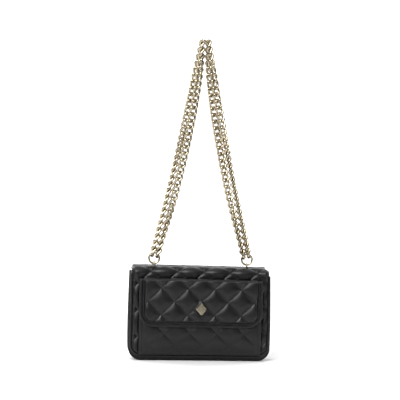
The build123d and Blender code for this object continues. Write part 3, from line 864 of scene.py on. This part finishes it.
def build_gusset():
    """One strip round both sides and the base, pulled in along its middle; its ends slope to the front."""
    path = outline_path(BODY_HALF, 0.0, BODY_TOP, BODY_CORNER, 2.0)
    ys = np.linspace(BODY_FRONT + 1.2, BODY_REAR - 1.2, 16)
    share = (ys - ys[0]) / (ys[-1] - ys[0])
    dip = 2.2 * np.sin(share * math.pi) ** 0.8
    slope_from, slope_to = -13.0, -5.0
    slope = FRONT_TOP + 0.2 + (ys - slope_from) * (BODY_TOP - FRONT_TOP) / (slope_to - slope_from)
    end_top = np.clip(np.where(ys < slope_to, slope, BODY_TOP), FRONT_TOP, BODY_TOP)
    thick = 1.5
    outer, inner = [], []
    for px, pz, nx, nz in path:
        at = np.minimum(pz, end_top)
        sink = dip * (0.55 + 0.45 * math.sin(pz / 31.0) ** 2) * (1.0 if abs(px) > BODY_HALF - 1 else 0.5)
        outer.append(np.stack([px + nx * sink, ys, at + nz * sink], axis=-1))
        inner.append(np.stack([px + nx * (sink + thick), ys, at + nz * (sink + thick)], axis=-1))
    verts, faces = slab(np.array(inner), np.array(outer))
    strip = add_mesh("gusset_leather", to_frame(swelled(verts)), faces, plain_mat, "purse_body")
    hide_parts("gusset", "base_board")


def piping(name, node, y_mid, last):
    """A corded edge: a rounded bead all the way round the panel."""
    path = outline_path(BODY_HALF, 0.0, last, BODY_CORNER, 1.8)
    out, half_out, half_deep = 0.15, 0.95, 1.65
    ring = []
    for a in np.linspace(0, 2 * math.pi, 12, endpoint=False):
        x, z = inwards(path, -(out + half_out * math.cos(a)))
        ring.append(np.stack([x, np.full(len(path), y_mid + half_deep * math.sin(a)), z], axis=-1))
    verts, faces = closed_sweep(swelled(np.stack(ring, axis=1)), flip=False)
    piece = add_mesh(name, to_frame(verts), faces, plain_mat, "purse_body")
    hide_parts(node)


def tub_ring(grow, floor, level):
    """One level of the lining's tub: a rectangle with rounded corners, its long sides in short steps."""
    y0, y1 = BODY_FRONT + 3.1 - grow, BODY_REAR - 3.1 + grow
    r = 3.0
    half = half_at(np.array(level), BODY_HALF - LINING_EASE + grow, floor, BODY_CORNER - 3.0)
    ring = []
    for quarter, (side, cy) in enumerate(((1, y1 - r), (-1, y1 - r), (-1, y0 + r), (1, y0 + r))):
        z = min(level, FRONT_TOP - 1.2) if cy < 0 else level
        for a in np.radians(np.linspace(quarter * 90, quarter * 90 + 90, 6)):
            ring.append((side * (half - r) + r * math.cos(a), cy + r * math.sin(a), z))
    steps = 20
    full = []
    for p, following in zip(ring, ring[1:] + ring[:1]):
        full.append(p)
        if math.dist(p, following) > 8:
            for k in range(1, steps):
                full.append(tuple(p[j] + (following[j] - p[j]) * k / steps for j in range(3)))
    return full


def tub(grow, floor, rim):
    """The lining's tub as a grid of rings, closer together where its lower corners are round."""
    rounded = floor + BODY_CORNER * (1 - np.cos(np.linspace(0.12, math.pi / 2, 12)))
    straight = np.linspace(floor + BODY_CORNER, rim, 24)[1:]
    return np.array([tub_ring(grow, floor, level) for level in np.concatenate([rounded, straight])])


def build_body_lining():
    """A sewn tub inside the body: an inside and an outside joined at the rim."""
    inside = tub(0.0, 4.6, BODY_TOP - 4)
    outside = tub(0.75, 3.9, BODY_TOP - 4)
    rows_n, cols_n = inside.shape[:2]
    verts = np.concatenate([inside.reshape(-1, 3), outside.reshape(-1, 3)])
    n = rows_n * cols_n
    faces = grid_faces(rows_n, cols_n, close_cols=True, flip=True)
    faces += grid_faces(rows_n, cols_n, start=n, close_cols=True)
    top = (rows_n - 1) * cols_n
    for c in range(cols_n):
        d = (c + 1) % cols_n
        faces.append((top + c, n + top + c, n + top + d, top + d))
    faces.append(tuple(range(cols_n)))
    faces.append(tuple(n + c for c in reversed(range(cols_n))))
    cloth = add_mesh("lining_tub", to_frame(verts), faces, lining_mat, "purse_body", 50)
    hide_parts("purse_lining")


def build_slip_pocket():
    """A sewn patch on the inner rear wall, open at the top, with a hem."""
    half = high("inner_pocket", 0)
    foot = low("inner_pocket", 2) - BASE
    top = high("inner_pocket", 2) - BASE
    back = high("inner_pocket", 1) - DEPTH
    corner = 8.0
    x, z = outline_grid(half, foot, top, corner, 2.5)
    edge = inset_of(x, z, half, foot, top + 40, corner)
    hem = 0.35 * smooth((z - top + 9) / 0.8)
    y = back - 0.9 - 4.3 * smooth(edge / 7.0) - hem
    verts, faces = slab(np.stack([x, y, z], axis=-1), np.stack([x, y + 0.7, z], axis=-1))
    cloth = add_mesh("slip_pocket_cloth", to_frame(verts), faces, lining_mat, "purse_body")
    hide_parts("inner_pocket")


def fold_section(y, foot):
    """The fold's line from the rear panel up and over onto the cover, as evenly spaced, smoothed (y, z)."""
    corners = np.array([(y, foot), (y, foot + 6), (y, BODY_TOP - 4), (y + 0.2, BODY_TOP),
                        (y + 0.25, COVER_TOP - 5), (y - 0.2, COVER_TOP - 3), (y - 1.5, COVER_TOP - 1.2),
                        (y - 3.4, COVER_TOP - 0.5), (y - 6.5, COVER_TOP - 0.3)])
    lengths = np.concatenate([[0], np.cumsum(np.hypot(*np.diff(corners, axis=0).T))])
    even = np.linspace(0, lengths[-1], 44)
    line = np.stack([np.interp(even, lengths, corners[:, i]) for i in range(2)], axis=-1)
    kernel = np.ones(5) / 5
    for i in range(2):
        line[2:-2, i] = np.convolve(line[:, i], kernel, "valid")
    return line, even


def strip(xs, yz):
    """A section carried across the width, seen from behind."""
    shape = (len(yz), len(xs))
    return np.stack([np.broadcast_to(-xs[None, :], shape), np.broadcast_to(yz[:, 0:1], shape),
                     np.broadcast_to(yz[:, 1:2], shape)], axis=-1)


def build_rear_fold():
    """The leather hinge from the rear panel to the cover's rear edge, built as one still piece."""
    foot = low("rear_fold", 2) - BASE
    half = high("rear_fold", 0) - 1.5
    y = BODY_REAR + 0.25
    line, even = fold_section(y, foot)
    tangent = np.gradient(line, axis=0)
    tangent /= np.linalg.norm(tangent, axis=1)[:, None]
    normal = np.stack([tangent[:, 1], -tangent[:, 0]], axis=-1)
    ends = bulge(even / 1.6, 2) * bulge((even[-1] - even) / 1.6, 2)
    xs = np.linspace(-half, half, 90)
    verts, faces = slab(strip(xs, line + normal * (0.35 + 0.75 * ends)[:, None]), strip(xs, line))
    fold = add_mesh("rear_fold_leather", to_frame(verts), faces, plain_mat, None)
    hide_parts("rear_fold")
    blend_from = tuple(to_frame([[0, BODY_REAR, BODY_TOP - 5]])[0])
    blend_to = tuple(to_frame([[0, BODY_REAR, COVER_TOP - 1.5]])[0])
    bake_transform(fold)
    stitch_rows("rear_fold_stitches_low", [level_row(xs, y + 1.15, foot + 2.5, (0, 1, 0))], "purse_body")
    stitch_rows("rear_fold_stitches_top", [level_row(xs, y - 4.6, COVER_TOP + 0.75, (0, 0, 1))], "cover")


build_rear()
build_front()
build_gusset()
piping("front_corded_edge", "front_piping", BODY_FRONT + 1.7, FRONT_TOP - 0.5)
piping("rear_corded_edge", "rear_piping", BODY_REAR - 1.7, BODY_TOP - 0.5)
build_body_lining()
build_slip_pocket()
build_rear_fold()


# ---- metal: the CAD shapes are right, so they keep them and get their finish ---------------------
SMALL_METAL = ("strap_rings", "strap_posts", "post_washers", "post_screws", "emblem", "emblem_washer",
               "pocket_snap_socket", "pocket_snap_stud")
PLATING = 0.5 * MM         # added all round, since the CAD's wire is thin so that its links keep clear
SHARP = math.radians(35)

for node, obj in nodes.items():
    if node.startswith("chain_") or node in SMALL_METAL:
        obj.data.materials.clear()
        obj.data.materials.append(gold_mat)
        obj.data.polygons.foreach_set("use_smooth", [True] * len(obj.data.polygons))
        obj.data.set_sharp_from_angle(angle=SHARP)
    if node.startswith("chain_") or node == "strap_rings":
        plating = obj.modifiers.new("plating", "DISPLACE")
        plating.strength = PLATING
        plating.mid_level = 0.0


# ---- room, light and camera ----------------------------------------------------------------------
floor_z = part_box("rear_piping")[0].z
FLOOR_FRONT = -0.8
FLOOR_REAR = 1.6
CURVE = 1.2                # radius of the curve from floor to wall
WALL_TOP = 5.0
# name, place and aim over the floor, width and power
AIM = (0.0, 0.0, 0.2)
LIGHTS = (
    ("key_soft", (-0.75, -1.5, 1.45), AIM, 1.1, 46),
    ("overhead", (0.1, 0.4, 2.0), AIM, 1.2, 7),
    ("left_soft", (-1.9, -0.6, 0.9), AIM, 0.5, 4),
    ("right_soft", (1.8, -0.9, 1.0), AIM, 0.5, 4),
    ("wall_left", (-1.6, 0.9, 2.0), (-0.6, 2.8, 1.0), 1.2, 50),
    ("wall_right", (1.6, 0.9, 2.0), (0.6, 2.8, 1.0), 1.2, 50),
)
LENS = 135.0
SENSOR = 36.0
FIELD = 0.592              # metres across the picture at the purse
AZIMUTH = math.radians(-5.0)
ELEVATION = math.radians(0.8)
ROLL = math.radians(1.2)
TARGET = (-0.0045, -0.02, 0.2398)      # over the floor
DARK_ROOM, BRIGHT_ROOM = 0.035, 0.4    # what the gloss reflects, from low down to high up
PAPER = 0.95                           # what the camera sees past the backdrop


def backdrop():
    """A pale floor that curves up into a wall behind."""
    profile = [(FLOOR_FRONT, 0.0), (FLOOR_REAR, 0.0)]
    for a in np.linspace(0, math.pi / 2, 14)[1:]:
        profile.append((FLOOR_REAR + CURVE * math.sin(a), CURVE - CURVE * math.cos(a)))
    profile.append((FLOOR_REAR + CURVE, WALL_TOP))
    grid = np.array([[(x, y, floor_z + z) for x in (-5.0, 0.0, 5.0)] for y, z in profile])
    mat, tree, shader, coords = new_material("backdrop")
    tint = ramp(tree, noise(tree, coords, 3.0).outputs["Fac"], ((0.3, grey(0.93)), (0.7, grey(0.96))))
    tree.links.new(tint.outputs["Color"], shader.inputs["Base Color"])
    put(shader, {"Roughness": 0.9, "Specular IOR Level": 0.1})
    obj = add_mesh("backdrop", grid.reshape(-1, 3), grid_faces(len(profile), 3), mat)


def over_floor(place):
    return Vector((place[0], place[1], floor_z + place[2]))


def area_light(name, place, aim, size, power):
    data = bpy.data.lights.new(name, "AREA")
    data.energy = power
    data.size = size
    obj = bpy.data.objects.new(name, data)
    obj.location = over_floor(place)
    obj.rotation_euler = (over_floor(aim) - over_floor(place)).to_track_quat("-Z", "Y").to_euler()
    bpy.context.scene.collection.objects.link(obj)


def room():
    """A dome that is dark below and brighter above for reflections, and pale to the camera."""
    world = bpy.data.worlds.new("studio")
    world.use_nodes = True
    sky = world.node_tree
    view = sky.nodes.new("ShaderNodeTexCoord")
    split = sky.nodes.new("ShaderNodeSeparateXYZ")
    sky.links.new(view.outputs["Generated"], split.inputs["Vector"])
    dome = ramp(sky, split.outputs["Z"], ((0.25, grey(DARK_ROOM)), (0.85, grey(BRIGHT_ROOM))))
    sky.links.new(dome.outputs["Color"], sky.nodes["Background"].inputs["Color"])
    plain = sky.nodes.new("ShaderNodeBackground")
    plain.inputs["Color"].default_value = grey(PAPER)
    seen = sky.nodes.new("ShaderNodeLightPath")
    either = sky.nodes.new("ShaderNodeMixShader")
    sky.links.new(seen.outputs["Is Camera Ray"], either.inputs["Fac"])
    sky.links.new(sky.nodes["Background"].outputs["Background"], either.inputs[1])
    sky.links.new(plain.outputs["Background"], either.inputs[2])
    sky.links.new(either.outputs["Shader"], sky.nodes["World Output"].inputs["Surface"])
    bpy.context.scene.world = world
    bpy.context.scene.view_settings.view_transform = "Standard"


def add_camera():
    """From barely above and a little to the left, rolled by the bag's lean."""
    level = math.cos(ELEVATION)
    back = Vector((math.sin(AZIMUTH) * level, -math.cos(AZIMUTH) * level, math.sin(ELEVATION)))
    data = bpy.data.cameras.new("camera")
    data.lens = LENS
    data.sensor_width = SENSOR
    camera = bpy.data.objects.new("camera", data)
    camera.location = over_floor(TARGET) + back * (FIELD * LENS / SENSOR)
    camera.rotation_euler = (-back).to_track_quat("-Z", "Y").to_euler()
    camera.rotation_euler.rotate_axis("Z", ROLL)
    bpy.context.scene.collection.objects.link(camera)
    bpy.context.scene.camera = camera


backdrop()
for light in LIGHTS:
    area_light(*light)
room()
add_camera()
